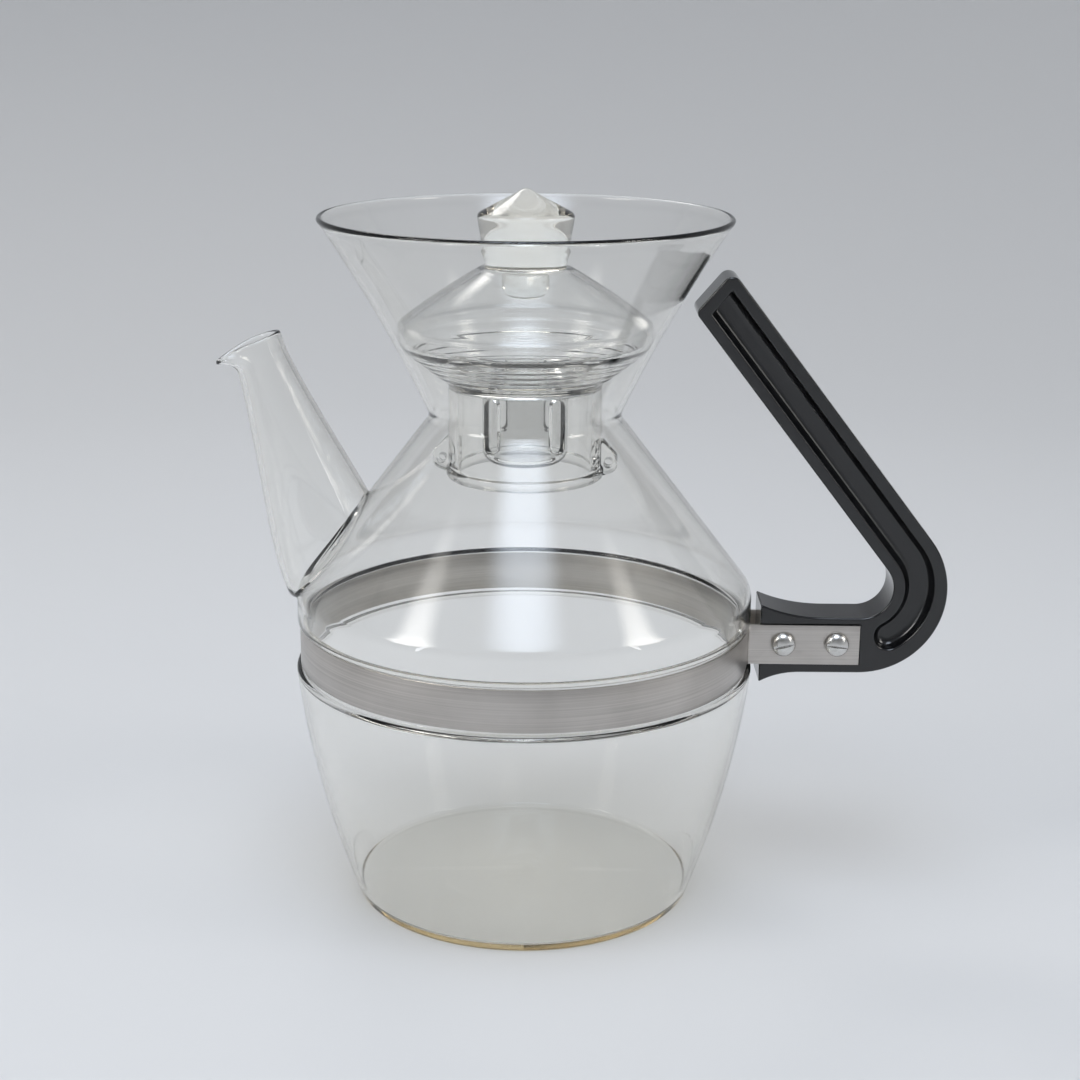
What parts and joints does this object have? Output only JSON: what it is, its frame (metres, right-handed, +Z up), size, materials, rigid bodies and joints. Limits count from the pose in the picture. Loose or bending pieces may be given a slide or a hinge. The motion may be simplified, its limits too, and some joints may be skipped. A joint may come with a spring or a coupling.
{
  "type": "glass coffee pot",
  "caption": "Hourglass glass coffee pot with funnel top, hanging glass lid, fused spout, steel band and hooked black handle.",
  "frame": {"origin": "centre of the flat base, on the pot's axis, at the surface that it stands on", "axes": "+Z up along the pot's axis, +X towards the handle, -X towards the spout"},
  "size_m": [0.2351, 0.149, 0.2324],
  "materials": {
    "pot_glass": "clear fire-polished borosilicate glass, faint straw tint at thick edges",
    "lid_glass": "clear lamp-worked glass with a soft gloss",
    "band_steel": "satin stainless steel strip with fine scratches",
    "screw_steel": "bright plated round-head screws and nuts",
    "bakelite": "glossy black moulded bakelite"
  },
  "bodies": {
    "pot": {"pot_body": "pot_glass", "spout": "pot_glass", "band": "band_steel", "handle": "bakelite", "inner_screw": "screw_steel", "inner_nut": "screw_steel", "outer_screw": "screw_steel", "outer_nut": "screw_steel"},
    "lid": {"lid_dome": "lid_glass", "lid_knob": "lid_glass", "lid_plug": "lid_glass", "lid_cup": "lid_glass"}
  },
  "joints": [
    {"name": "lid_lift", "type": "slide", "parent": "pot", "child": "lid", "axis": [0, 0, 1], "range_m": [0, 0.095]}
  ]
}
